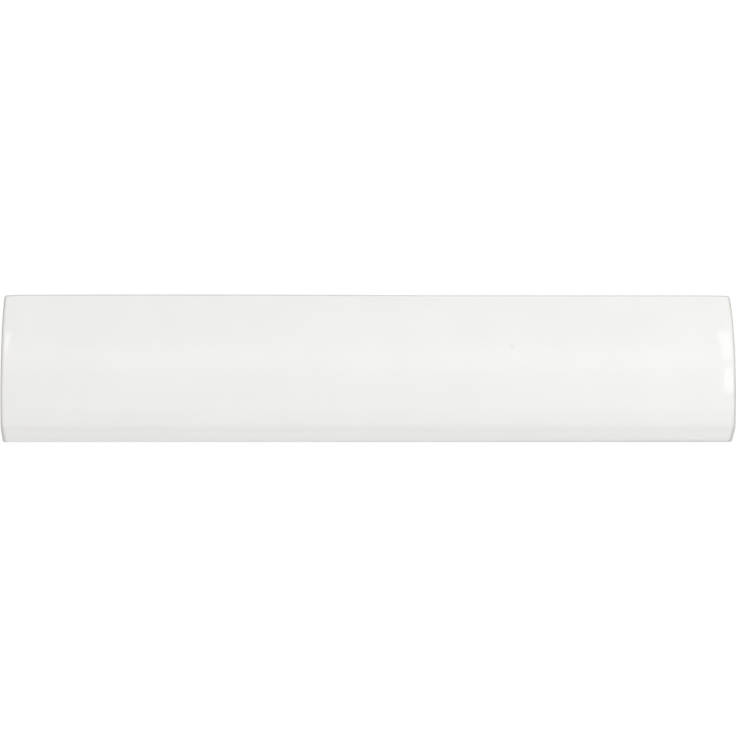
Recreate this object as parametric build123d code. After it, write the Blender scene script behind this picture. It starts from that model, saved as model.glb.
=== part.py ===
from build123d import *
import os

# A glazed ceramic pencil liner: one pressed and fired piece, in millimetres.
# X runs along the tile, Y across it, and Z from the bed face up to the crown.
# The origin is the centre of the bed face, which goes against the wall.

# Outline
tile_length = 150.0  # end face to end face
tile_width = 30.0  # long side to long side
tile_thickness = 14.0  # bed face to the top of the crown
side_height = 8.0  # bed face to where the crown arc meets the long side

# Edges
shoulder_radius = 3.0  # crown into long side
end_edge_radius = 0.8  # long sides and crown into the end faces
bed_chamfer = 0.5  # pressed arris round the bed face

# Keyed back
groove_width = 3.5  # at the mouth
groove_depth = 1.0
groove_draft = 20.0  # degrees, so that the die lets go
rib_width = 2.0  # between two grooves
side_margin = 4.5  # least plain width beside the outer grooves
end_margin = 6.0  # plain length beyond each groove's end


def cross_section():
    """The tile cut across: flat bed, two upright sides, crown arc and round shoulders."""
    half_width = tile_width / 2
    left_foot, right_foot = (-half_width, 0), (half_width, 0)
    left_shoulder, right_shoulder = (-half_width, side_height), (half_width, side_height)
    with BuildSketch(Plane.YZ) as section:
        with BuildLine():
            Polyline(left_shoulder, left_foot, right_foot, right_shoulder)
            ThreePointArc(right_shoulder, (0, tile_thickness), left_shoulder)
        make_face()
        shoulders = section.vertices().group_by(Axis.Y)[-1]
        fillet(shoulders, shoulder_radius)
    return section.sketch


def pressed_body():
    """The section run along X, with its end edges rounded and its bed arris chamfered."""
    body = extrude(cross_section(), tile_length / 2, both=True)
    end_edges = body.faces().filter_by(Axis.X).edges()
    rims = [edge for edge in end_edges if edge.center().Z > 0]
    body = fillet(rims, end_edge_radius)
    bed = body.faces().sort_by(Axis.Z)[0]
    return chamfer(bed.edges(), bed_chamfer)


def keying_grooves():
    """Parallel blind grooves in the bed, which grip the adhesive."""
    pitch = groove_width + rib_width
    room = tile_width - 2 * side_margin + rib_width
    count = int(room // pitch)
    groove_length = tile_length - 2 * end_margin
    with BuildPart() as grooves:
        with BuildSketch(Plane.XY):
            with GridLocations(0, pitch, 1, count):
                SlotOverall(groove_length, groove_width)
        extrude(amount=groove_depth, taper=groove_draft)
    return grooves.part


pencil_liner_tile = pressed_body() - keying_grooves()

os.makedirs("parts", exist_ok=True)
export_step(pencil_liner_tile, "parts/pencil_liner_tile.step")
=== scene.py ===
from math import pi, radians

import bpy
from mathutils import Matrix, Vector


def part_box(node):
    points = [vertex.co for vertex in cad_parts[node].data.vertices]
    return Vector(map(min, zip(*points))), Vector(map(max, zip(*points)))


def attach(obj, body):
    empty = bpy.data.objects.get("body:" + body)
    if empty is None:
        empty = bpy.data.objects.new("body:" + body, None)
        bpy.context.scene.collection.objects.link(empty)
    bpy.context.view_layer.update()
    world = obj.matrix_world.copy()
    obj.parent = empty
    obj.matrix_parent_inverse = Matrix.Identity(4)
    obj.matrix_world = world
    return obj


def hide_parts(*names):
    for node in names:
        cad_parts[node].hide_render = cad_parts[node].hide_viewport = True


# A glazed pencil liner lying face up, seen from above on a pale floor.
# X runs along the tile, Y across it and Z up. All lengths here are in metres.

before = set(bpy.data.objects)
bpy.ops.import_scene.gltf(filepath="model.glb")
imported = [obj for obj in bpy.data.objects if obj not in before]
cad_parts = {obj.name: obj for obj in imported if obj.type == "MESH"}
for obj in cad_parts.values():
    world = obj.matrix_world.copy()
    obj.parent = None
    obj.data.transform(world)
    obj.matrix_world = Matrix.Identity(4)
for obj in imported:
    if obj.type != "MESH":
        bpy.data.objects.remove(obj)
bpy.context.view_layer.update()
linerLow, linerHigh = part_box("pencil_liner_tile")
mm = 0.001


# Sums in node trees: each one below adds the Math node that it stands for

def feed(tree, socket, value):
    if isinstance(value, Amount):
        tree.links.new(value.socket, socket)
    elif isinstance(value, bpy.types.NodeSocket):
        tree.links.new(value, socket)
    else:
        socket.default_value = value


def addNode(tree, kind, values=None, **settings):
    node = tree.nodes.new(kind)
    for name, setting in settings.items():
        setattr(node, name, setting)
    for name, value in (values or {}).items():
        feed(tree, node.inputs[name], value)
    return node


def sums(tree, operation, *terms):
    node = addNode(tree, "ShaderNodeMath", operation=operation)
    for socket, term in zip(node.inputs, terms):
        feed(tree, socket, term)
    return Amount(tree, node.outputs[0])


class Amount:
    # A number in a tree, which adds and multiplies as Python's own do
    def __init__(self, tree, socket):
        self.tree = tree
        self.socket = socket

    def __add__(self, other):
        return sums(self.tree, "ADD", self, other)

    def __radd__(self, other):
        return sums(self.tree, "ADD", other, self)

    def __sub__(self, other):
        return sums(self.tree, "SUBTRACT", self, other)

    def __rsub__(self, other):
        return sums(self.tree, "SUBTRACT", other, self)

    def __mul__(self, other):
        return sums(self.tree, "MULTIPLY", self, other)

    def __truediv__(self, other):
        return sums(self.tree, "DIVIDE", self, other)

    def call(self, operation, *others):
        return sums(self.tree, operation, self, *others)


def ramp(tree, value, low, high, start=0.0, end=1.0, kind="LINEAR"):
    # start at low, end at high, and no further on either side
    node = addNode(tree, "ShaderNodeMapRange", interpolation_type=kind, clamp=True)
    for name, number in zip(node.inputs.keys(), (value, low, high, start, end)):
        feed(tree, node.inputs[name], number)
    return Amount(tree, node.outputs[0])


def noise(tree, vector, size, detail):
    # 0 to 1, mostly near the middle, with lumps about that size; detail adds finer ones
    values = {"Vector": vector, "Scale": 1 / size, "Detail": detail}
    node = addNode(tree, "ShaderNodeTexNoise", values, normalize=True)
    return Amount(tree, node.outputs[0])


def xyz(tree, x, y, z):
    return addNode(tree, "ShaderNodeCombineXYZ", {"X": x, "Y": y, "Z": z}).outputs[0]


# The tile's form

liner = {
    "Length": linerHigh.x - linerLow.x,
    "Width": linerHigh.y - linerLow.y,
    "Thickness": linerHigh.z - linerLow.z,
    "Side Height": 8.0 * mm,  # where the crown's arc would meet the side
    "Shoulder Radius": 3.0 * mm,
    "End Radius": 0.8 * mm,
    "Corner Radius": 0.5 * mm,  # the same rim down the corners, where it is sharper
    "End Draft": radians(0.7),  # the ends lean in a little towards the crown
    "Bed Chamfer": 0.5 * mm,
    "End Chamfer": 0.12 * mm,  # worn almost away under the ends
    "Foot Height": 2.0 * mm,  # the closer steps below this draw the near lip
    "Glaze Thickness": 0.05 * mm,  # its step at the lip
    "Near Lip Height": 0.72 * mm,  # bare body shows below this on the near side, which also paints shade: a dark line along the foot
    "Near Shade Climb": 0.35 * mm,  # how much higher it runs at the right end, painted shade that makes the line along the foot darker towards the right
    "Near Lip Ripple": 0.25 * mm,
    "Near Thinning": 0.8 * mm,  # and the glaze thins for so far above it, which also paints shade just above the foot
    "Far Shade Lip Height": 8.76 * mm,  # painted shade: the far side is left in the body's colour right up to its shoulder, which draws a dark outline along the far edge
    "Far Shade Lip Ripple": 0.12 * mm,
    "End Lip": 0.5 * mm,  # how far the glaze comes round the rim of an end; the bare rim beyond it also paints a dark outline of shade at each end
    "Corner Shade Thinning": 0.72 * mm,  # how much less far down the corners, which paints darker shade down the corners
    "End Lip Ripple": 0.15 * mm,
    "End Sag Length": 4.6 * mm,  # the crown softens towards each end
    "End Sag": 0.33 * mm,
    "Bow": 0.17 * mm,  # the far side is pressed clay, not quite straight
    "Bow Peak": -38.0 * mm,
    "Bow Reach": 50.0 * mm,
    "Glaze Relief": 0.05 * mm,  # slow waves in the glaze
    "Groove Width": 3.5 * mm,
    "Groove Depth": 1.0 * mm,
    "Groove Draft": radians(20.0),
    "Rib Width": 2.0 * mm,
    "End Margin": 6.0 * mm,
    "Groove Count": 4,
    "Seed": 7,
}
wholeNumbers = ("Groove Count", "Seed")

around = {"crown": 26, "shoulder": 9, "side": 9, "foot": 10, "chamfer": 1, "bed": 1}  # steps, each half
along = {"middle": 60, "sag": 16, "rim": 7, "end": 9}  # steps, each half


def linerTree(material):
    tree = bpy.data.node_groups.new("pencilLiner", "GeometryNodeTree")
    sockets = {}
    for name, value in liner.items():
        kind = "NodeSocketInt" if name in wholeNumbers else "NodeSocketFloat"
        sockets[name] = tree.interface.new_socket(name, in_out="INPUT", socket_type=kind)
        sockets[name].default_value = value
    tree.interface.new_socket("Geometry", in_out="OUTPUT", socket_type="NodeSocketGeometry")
    given = addNode(tree, "NodeGroupInput")
    size = {name: Amount(tree, given.outputs[name]) for name in liner}

    body = sweptBody(tree, size)
    keyed = addNode(tree, "GeometryNodeMeshBoolean", operation="DIFFERENCE", solver="EXACT")
    tree.links.new(body, keyed.inputs["Mesh 1"])
    tree.links.new(backGrooves(tree, size), keyed.inputs["Mesh 2"])

    crease = radians(32)  # a sharper edge than this stays crisp
    angle = addNode(tree, "GeometryNodeInputMeshEdgeAngle").outputs["Unsigned Angle"]
    gentle = addNode(tree, "FunctionNodeCompare", operation="LESS_THAN")
    feed(tree, gentle.inputs[0], angle)
    gentle.inputs[1].default_value = crease
    smooth = addNode(tree, "GeometryNodeSetShadeSmooth", {"Geometry": keyed.outputs[0]}, domain="FACE")
    creased = addNode(tree, "GeometryNodeSetShadeSmooth", {"Geometry": smooth.outputs[0]}, domain="EDGE")
    feed(tree, creased.inputs["Shade Smooth"], gentle.outputs[0])
    real = addNode(tree, "GeometryNodeRealizeInstances", {"Geometry": creased.outputs[0]})
    dressed = addNode(tree, "GeometryNodeSetMaterial", {"Geometry": real.outputs[0]})
    dressed.inputs["Material"].default_value = material
    result = addNode(tree, "NodeGroupOutput")
    tree.links.new(dressed.outputs[0], result.inputs[0])
    return tree, sockets


def sweptBody(tree, size):
    # A tube of rings, whose every point is then put in its place by the rules below
    halfAround = sum(around.values())
    halfAlong = sum(along.values())
    tube = addNode(tree, "GeometryNodeMeshCylinder", fill_type="NGON")
    tube.inputs["Vertices"].default_value = 2 * halfAround
    tube.inputs["Side Segments"].default_value = 2 * halfAlong
    index = Amount(tree, addNode(tree, "GeometryNodeInputIndex").outputs[0])
    ring = (index / (2 * halfAround)).call("FLOOR")
    step = index - ring * (2 * halfAround)
    near = (step - halfAround).call("SIGN")  # the first half goes down the near side
    right = (halfAlong - ring).call("SIGN")
    fromCrown = halfAround - (step - halfAround).call("ABSOLUTE")
    fromMiddle = (ring - halfAlong).call("ABSOLUTE")

    def stages(place, counts):
        # how far each stretch has been walked, from 0 to 1, one stretch after another
        walked, start = {}, 0
        for name, count in counts.items():
            walked[name] = ramp(tree, place, start, start + count)
            start += count
        return walked

    half = size["Width"] / 2
    rise = size["Thickness"] - size["Side Height"]
    crownRadius = (half * half + rise * rise) / (rise * 2)
    crownCentre = size["Thickness"] - crownRadius
    shoulder = size["Shoulder Radius"]
    shoulderReach = half - shoulder
    tangent = crownRadius - shoulder
    shoulderCentre = crownCentre + (tangent * tangent - shoulderReach * shoulderReach).call("SQRT")
    crownHalfAngle = (shoulderReach / tangent).call("ARCSINE")
    chamfer = size["Bed Chamfer"]

    # Across: crown arc, shoulder arc, side, chamfer, bed
    walked = stages(fromCrown, around)
    crownAngle = crownHalfAngle * walked["crown"]
    turn = crownAngle + (pi / 2 - crownHalfAngle) * walked["shoulder"]
    outward = turn.call("SINE")
    upward = turn.call("COSINE")
    y = crownRadius * crownAngle.call("SINE") + shoulder * (outward - crownAngle.call("SINE"))
    z = crownCentre + crownRadius * crownAngle.call("COSINE")
    z = z + shoulder * (upward - crownAngle.call("COSINE"))
    z = z - (shoulderCentre - size["Foot Height"]) * walked["side"]
    z = z - (size["Foot Height"] - chamfer) * walked["foot"]
    onBed = walked["chamfer"]

    # Along: middle, soft end, rounded rim, then in over the end face
    went = stages(fromMiddle, along)
    sagLength = size["End Sag Length"]
    rimRadius = size["End Radius"] + (size["Corner Radius"] - size["End Radius"]) * outward * outward
    rimAngle = went["rim"] * (pi / 2)
    x = (size["Length"] / 2 - sagLength) * went["middle"] + (sagLength - rimRadius) * went["sag"]
    x = x + rimRadius * rimAngle.call("SINE")
    toEnd = size["Length"] / 2 - x
    rimInset = rimRadius * (1 - rimAngle.call("COSINE"))
    lastRing = 0.02  # its size beside the rim's, at the middle of an end face
    shrink = 1 - went["end"] * went["end"] * (1 - lastRing)

    # The glaze: its lip, which also paints shade along the outlines, its slow waves, and the body's bow and
    # soft ends
    place = xyz(tree, x * right, y * near, z)
    shift = xyz(tree, size["Seed"], 0.0, 0.0)
    seeded = addNode(tree, "ShaderNodeVectorMath", {0: place, 1: shift}, operation="ADD").outputs[0]
    far = near.call("MAXIMUM", 0.0)
    lumps = 9 * mm  # length of a ripple in the lip
    ripple = (noise(tree, seeded, lumps, 3.0) - 0.5) * 2
    # painted shade: the near lip climbs towards the right end, so the dark line along the foot is darker
    # there
    shadeClimb = size["Near Shade Climb"] * x * right / size["Length"] * 2
    nearLip = size["Near Lip Height"] + shadeClimb + size["Near Lip Ripple"] * ripple
    # painted shade: the far lip sits at the shoulder, so the far side shows the body's darker colour as an
    # outline
    farShadeLip = size["Far Shade Lip Height"] + size["Far Shade Lip Ripple"] * ripple
    lip = nearLip + (farShadeLip - nearLip) * far
    sideFade = 0.2 * mm  # the height over which the cover grows, at the lip and again above it
    lipShare = 0.6  # of the full cover is reached at the lip
    thinTo = sideFade + (size["Near Thinning"] - sideFade) * (1 - far)
    atLip = ramp(tree, z - lip, -sideFade, 0.0, 0.0, lipShare)
    aboveLip = ramp(tree, z - lip, thinTo - sideFade, thinTo, 0.0, 1 - lipShare)
    sideCoverAndShade = (atLip + aboveLip) * (1 - onBed)
    sag = (1 - toEnd / sagLength).call("MAXIMUM", 0.0)
    sag = size["End Sag"] * sag * sag * upward
    drawn = 0.2  # height counts for this much, which draws the waves out down the sides
    flat = xyz(tree, x * right, y * near + size["Seed"], z * drawn)
    longWave = 24 * mm
    longShare = 0.7  # of the relief; short waves make up the rest
    shortWave = 7 * mm
    waves = noise(tree, flat, longWave, 1.0) * longShare
    waves = waves + noise(tree, flat, shortWave, 1.0) * (1 - longShare)
    relief = size["Glaze Relief"] * waves
    bend = (x * right - size["Bow Peak"]) / size["Bow Reach"]
    bow = size["Bow"] * (bend * bend).call("MINIMUM", 1.0) * far * outward
    bare = size["Glaze Thickness"] * (1 - sideCoverAndShade) * (1 - onBed)
    inset = rimInset + sag + relief * sideCoverAndShade + bare + bow

    lift = (size["End Chamfer"] - toEnd).call("MAXIMUM", 0.0)
    y = (y - outward * inset - chamfer * onBed) * (1 - walked["bed"])
    z = z - upward * inset - chamfer * onBed + lift * onBed

    # The end face closes ring by ring towards its middle
    middleHeight = size["Thickness"] / 2
    zEnd = middleHeight + (z - middleHeight) * shrink
    yEnd = y * shrink
    fromRim = crownRadius - (yEnd * yEnd + (zEnd - crownCentre) * (zEnd - crownCentre)).call("SQRT")
    fromRim = fromRim.call("MINIMUM", half - yEnd) - rimRadius
    onEnd = went["end"].call("GREATER_THAN", 0.0)
    beforeRim = (toEnd - rimRadius).call("MAXIMUM", 0.0)
    roundRim = rimRadius * rimAngle + fromRim * onEnd - beforeRim
    # partly real glaze edge, partly painted shade: the glaze stops short round the ends and more so down
    # the corners, so they show dark outlines
    endLipAndShade = size["End Lip"] - size["Corner Shade Thinning"] * outward * outward + size["End Lip Ripple"] * ripple
    endFade = 0.4 * mm  # to each side of the glaze's edge round an end
    endCoverAndShade = ramp(tree, endLipAndShade - roundRim, -endFade, endFade)
    coverAndShade = sideCoverAndShade * endCoverAndShade
    xEnd = x - size["Glaze Thickness"] * (1 - endCoverAndShade) * rimAngle.call("SINE")
    xEnd = xEnd * (1 - zEnd * size["End Draft"].call("TANGENT") / (size["Length"] / 2))

    placed = addNode(tree, "GeometryNodeSetPosition", {"Geometry": tube.outputs["Mesh"]})
    feed(tree, placed.inputs["Position"], xyz(tree, xEnd * right, yEnd * near, zEnd))
    # the stored cover holds the glaze's real edge and also the painted shade along the outlines
    covered = addNode(tree, "GeometryNodeStoreNamedAttribute", {"Geometry": placed.outputs[0]})
    covered.inputs["Name"].default_value = "glazeCoverAndEdgeShade"
    feed(tree, covered.inputs["Value"], coverAndShade)
    return covered.outputs[0]


def backGrooves(tree, size):
    # One drafted slot with round ends, repeated across the bed
    proud = 0.2 * mm  # how far the cutters stand out of the bed
    slope = size["Groove Draft"].call("TANGENT")
    cone = addNode(tree, "GeometryNodeMeshCone", fill_type="NGON")
    cone.inputs["Vertices"].default_value = 30  # half of them round each end of a slot
    feed(tree, cone.inputs["Radius Bottom"], size["Groove Width"] / 2 + slope * proud)
    feed(tree, cone.inputs["Radius Top"], size["Groove Width"] / 2 - slope * size["Groove Depth"])
    feed(tree, cone.inputs["Depth"], size["Groove Depth"] + proud)
    position = addNode(tree, "GeometryNodeInputPosition").outputs[0]
    split = addNode(tree, "ShaderNodeSeparateXYZ", {0: position})
    side = Amount(tree, split.outputs[0]).call("SIGN")
    reach = size["Length"] / 2 - size["End Margin"] - size["Groove Width"] / 2
    slot = addNode(tree, "GeometryNodeSetPosition", {"Geometry": cone.outputs["Mesh"]})
    feed(tree, slot.inputs["Offset"], xyz(tree, side * reach, 0.0, -proud))
    pitch = size["Groove Width"] + size["Rib Width"]
    row = addNode(tree, "GeometryNodeMeshLine", mode="OFFSET")
    feed(tree, row.inputs["Count"], size["Groove Count"])
    first = (size["Groove Count"] - 1) * pitch * -0.5
    feed(tree, row.inputs["Start Location"], xyz(tree, 0.0, first, 0.0))
    feed(tree, row.inputs["Offset"], xyz(tree, 0.0, pitch, 0.0))
    repeated = {"Points": row.outputs[0], "Instance": slot.outputs[0]}
    slots = addNode(tree, "GeometryNodeInstanceOnPoints", repeated)
    return addNode(tree, "GeometryNodeRealizeInstances", {"Geometry": slots.outputs[0]}).outputs[0]


def plainMesh(name, tree, sockets, values):
    # The modifier's result as a mesh of its own, with the modifier gone
    piece = bpy.data.objects.new(name, bpy.data.meshes.new(name + "_start"))
    bpy.context.scene.collection.objects.link(piece)
    modifier = piece.modifiers.new("form", "NODES")
    modifier.node_group = tree
    for label, value in values.items():
        modifier[sockets[label].identifier] = value
    grown = piece.evaluated_get(bpy.context.evaluated_depsgraph_get())
    mesh = bpy.data.meshes.new_from_object(grown)
    piece.modifiers.remove(modifier)
    piece.data = mesh
    mesh.name = name
    return piece


# Finishes

glaze = {
    "colour": (0.869, 0.863, 0.848, 1.0),
    "thick": (0.851, 0.846, 0.832, 1.0),
    "thinAndShade": (0.800, 0.790, 0.762, 1.0),  # where it breaks over an edge, and painted shade that darkens the outlines
    "mottle": 11 * mm,  # size of the patches of the first two colours
    "roughness": 0.03,
    "smears": 5 * mm,  # size of slightly duller patches
    "duller": 0.015,  # how much rougher those can be
    "gloss": 0.5,
    "peel": 0.0025 * mm,  # depth of the orange peel
    "peelLumps": 2.4 * mm,
    "edgeLumps": 0.9 * mm,  # size of the waves along its ragged edge
    "edgeRagged": 0.3,  # how far they reach, as a share of the cover
}
fleck = {
    "place": (29.2 * mm, 0.75 * mm, 13.9 * mm),
    "size": 0.6 * mm,  # full to half of this from its middle, and gone at 1.4 times
    "lumps": 0.4 * mm,
    "ragged": 0.3 * mm,
    "strength": 0.15,
    "colour": (0.55, 0.51, 0.42, 1.0),
}
biscuit = {
    "colour": (0.685, 0.672, 0.648, 1.0),
    "grain": (0.585, 0.572, 0.549, 1.0),
    "speckle": 0.35 * mm,
    "roughness": 0.85,
    "gloss": 0.1,
    "pits": 0.03 * mm,  # depth of its pits
    "pitSize": 0.3 * mm,
}


def mixColour(tree, share, first, second):
    node = addNode(tree, "ShaderNodeMix", data_type="RGBA")
    feed(tree, node.inputs["Factor"], share)
    feed(tree, node.inputs[6], first)
    feed(tree, node.inputs[7], second)
    return node.outputs[2]


def newMaterial(name):
    material = bpy.data.materials.new(name)
    material.use_nodes = True
    tree = material.node_tree
    tree.nodes.clear()
    output = addNode(tree, "ShaderNodeOutputMaterial")
    return material, tree, output


def whiteGlaze():
    material, tree, output = newMaterial("white_glaze")
    place = addNode(tree, "ShaderNodeTexCoord").outputs["Object"]
    # the cover brings the glaze's edge from the form, with the painted shade of the outlines
    coverAndShade = Amount(tree, addNode(tree, "ShaderNodeAttribute", attribute_name="glazeCoverAndEdgeShade").outputs["Fac"])
    ragged = coverAndShade + (noise(tree, place, glaze["edgeLumps"], 3.0) - 0.5) * glaze["edgeRagged"]
    halfEdge = 0.08  # glaze gives way to bare body this close to half cover; at the outlines that bare body is painted shade
    glazed = ramp(tree, ragged, 0.5 - halfEdge, 0.5 + halfEdge, kind="SMOOTHSTEP")

    mottle = ramp(tree, noise(tree, place, glaze["mottle"], 3.0), 0.3, 0.7)
    glazeColour = mixColour(tree, mottle, glaze["colour"], glaze["thick"])
    glazeColour = mixColour(tree, ramp(tree, coverAndShade, 0.5, 1.0), glaze["thinAndShade"], glazeColour)
    away = addNode(tree, "ShaderNodeVectorMath", {0: place}, operation="DISTANCE")
    away.inputs[1].default_value = fleck["place"]
    away = Amount(tree, away.outputs["Value"]) + noise(tree, place, fleck["lumps"], 1.0) * fleck["ragged"]
    inFleck = ramp(tree, away, fleck["size"] * 1.4, fleck["size"] * 0.5, kind="SMOOTHSTEP")
    glazeColour = mixColour(tree, inFleck * fleck["strength"], glazeColour, fleck["colour"])
    speckle = ramp(tree, noise(tree, place, biscuit["speckle"], 4.0), 0.35, 0.75)
    bodyColour = mixColour(tree, speckle, biscuit["colour"], biscuit["grain"])

    peel = noise(tree, place, glaze["peelLumps"], 1.0) * glaze["peel"]
    grain = noise(tree, place, biscuit["pitSize"], 5.0) * biscuit["pits"]
    height = grain + (peel - grain) * glazed
    bump = addNode(tree, "ShaderNodeBump", {"Strength": 1.0, "Distance": 1.0})
    feed(tree, bump.inputs["Height"], height)

    shader = addNode(tree, "ShaderNodeBsdfPrincipled")
    feed(tree, shader.inputs["Base Color"], mixColour(tree, glazed, bodyColour, glazeColour))
    shine = noise(tree, place, glaze["smears"], 2.0) * glaze["duller"] + glaze["roughness"]
    feed(tree, shader.inputs["Roughness"], shine + (biscuit["roughness"] - shine) * (1 - glazed))
    gloss = biscuit["gloss"] + glazed * (glaze["gloss"] - biscuit["gloss"])
    feed(tree, shader.inputs["Specular IOR Level"], gloss)
    feed(tree, shader.inputs["Normal"], bump.outputs[0])
    shader.inputs["IOR"].default_value = 1.5
    tree.links.new(shader.outputs[0], output.inputs[0])
    return material


# Floor, light and camera

studio = {
    "floorSize": 3.0,
    "floorDrop": 0.01 * mm,  # keeps the floor off the bed face
    "floorColour": (0.90, 0.90, 0.89, 1.0),
    "floorSeen": 0.15,  # share of the floor's look that shading darkens
    "floorWhite": 1.04,  # a little over white, so that the open floor is plain
    "horizon": 1.052,
    "zenith": 0.9376,
    "zenithFrom": 0.75,  # upward part of the direction where the zenith's level starts
    "endShade": 0.7,  # how much darker it is past the tile's two ends
    "endShadeFrom": 0.3,  # and the sideways parts of the direction between which it fades
    "endShadeTo": 0.9,
    "nearLight": 0.095,  # how much brighter it is on the camera's side
}


def paleFloor():
    mesh = bpy.data.meshes.new("floor")
    reach = studio["floorSize"] / 2
    drop = -studio["floorDrop"]
    corners = [(-reach, -reach, drop), (reach, -reach, drop), (reach, reach, drop), (-reach, reach, drop)]
    mesh.from_pydata(corners, [], [(0, 1, 2, 3)])
    floor = bpy.data.objects.new("floor", mesh)
    bpy.context.scene.collection.objects.link(floor)
    material, tree, output = newMaterial("floor")
    plain = addNode(tree, "ShaderNodeBsdfDiffuse", {"Color": studio["floorColour"]})
    shaded = addNode(tree, "ShaderNodeBsdfDiffuse")
    share = studio["floorSeen"]
    shaded.inputs["Color"].default_value = (share, share, share, 1.0)
    white = addNode(tree, "ShaderNodeEmission", {"Strength": studio["floorWhite"] - share})
    seen = addNode(tree, "ShaderNodeAddShader", {0: shaded.outputs[0], 1: white.outputs[0]})
    path = addNode(tree, "ShaderNodeLightPath")
    either = Amount(tree, path.outputs["Is Camera Ray"])
    either = either.call("MAXIMUM", Amount(tree, path.outputs["Is Glossy Ray"]))
    either = either.call("MAXIMUM", Amount(tree, path.outputs["Is Transmission Ray"]))
    choice = addNode(tree, "ShaderNodeMixShader", {1: plain.outputs[0], 2: seen.outputs[0]})
    feed(tree, choice.inputs[0], either)
    tree.links.new(choice.outputs[0], output.inputs[0])
    mesh.materials.append(material)


def studioSky():
    world = bpy.data.worlds.new("studio")
    bpy.context.scene.world = world
    world.use_nodes = True
    tree = world.node_tree
    tree.nodes.clear()
    output = addNode(tree, "ShaderNodeOutputWorld")
    direction = addNode(tree, "ShaderNodeTexCoord").outputs["Generated"]
    split = addNode(tree, "ShaderNodeSeparateXYZ", {0: direction})
    up = Amount(tree, split.outputs["Z"])
    level = ramp(tree, up, 0.0, studio["zenithFrom"], studio["horizon"], studio["zenith"], "SMOOTHSTEP")
    past = Amount(tree, split.outputs["X"]).call("ABSOLUTE")
    fadeFrom, fadeTo = studio["endShadeFrom"], studio["endShadeTo"]
    level = level * ramp(tree, past, fadeFrom, fadeTo, 1.0, 1.0 - studio["endShade"], "SMOOTHSTEP")
    level = level * (1 - Amount(tree, split.outputs["Y"]) * studio["nearLight"])
    glow = addNode(tree, "ShaderNodeBackground", {"Color": (1.0, 1.0, 1.0, 1.0)})
    feed(tree, glow.inputs["Strength"], level)
    tree.links.new(glow.outputs[0], output.inputs[0])


# Flat panels that face down; glow is how bright each one is for its size
softboxes = {
    "right_far": {"low": (0.164, 0.077), "high": (0.40, 0.412), "height": 0.42, "glow": 1.7},
    "right_near": {"low": (0.171, -0.202), "high": (0.40, 0.022), "height": 0.42, "glow": 2.0},
    "left_far": {"low": (-0.62, 0.40), "high": (-0.345, 0.97), "height": 1.0, "glow": 2.3},
    "left_near": {"low": (-0.62, -0.15), "high": (-0.345, 0.40), "height": 1.0, "glow": 0.6},
    "overhead": {"low": (-0.35, -0.02), "high": (0.35, 0.50), "height": 1.0, "glow": 0.4},
    "strip": {"low": (-0.25, -0.505), "high": (0.30, -0.455), "height": 0.6, "glow": 0.9},
}


def hangSoftboxes():
    for name, box in softboxes.items():
        (left, near), (right, far) = box["low"], box["high"]
        lamp = bpy.data.lights.new(name, "AREA")
        lamp.shape = "RECTANGLE"
        lamp.size = right - left
        lamp.size_y = far - near
        lamp.energy = box["glow"] * pi * lamp.size * lamp.size_y
        holder = bpy.data.objects.new(name, lamp)
        holder.location = ((left + right) / 2, (near + far) / 2, box["height"])
        bpy.context.scene.collection.objects.link(holder)


# The photograph's view: high over the near side, level with the tile's length
view = {
    "place": (-15.8 * mm, -289.8 * mm, 759.0 * mm),
    "aim": (0.11 * mm, 1.49 * mm, 0.0),
    "focal": 3928.8,  # in pixels of the 736 pixel frame
    "frame": 736.0,
}


def photographCamera():
    camera = bpy.data.objects.new("camera", bpy.data.cameras.new("camera"))
    bpy.context.scene.collection.objects.link(camera)
    camera.data.sensor_width = 36.0
    camera.data.lens = camera.data.sensor_width * view["focal"] / view["frame"]
    place = Vector(view["place"])
    ahead = (Vector(view["aim"]) - place).normalized()
    across = Vector((1, 0, 0))
    across = (across - ahead * across.dot(ahead)).normalized()
    turned = Matrix((across, across.cross(ahead), -ahead)).transposed()
    camera.matrix_world = Matrix.Translation(place) @ turned.to_4x4()
    bpy.context.scene.camera = camera


print("form: sweep, glaze and keyed back")
tree, sockets = linerTree(whiteGlaze())
tile = plainMesh("glazed_tile", tree, sockets, liner)
print("form:", len(tile.data.vertices), "points,", len(tile.data.polygons), "faces")
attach(tile, "root")
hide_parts("pencil_liner_tile")

print("studio: floor, sky, softboxes and camera")
paleFloor()
studioSky()
hangSoftboxes()
photographCamera()
bpy.context.scene.view_settings.view_transform = "Standard"
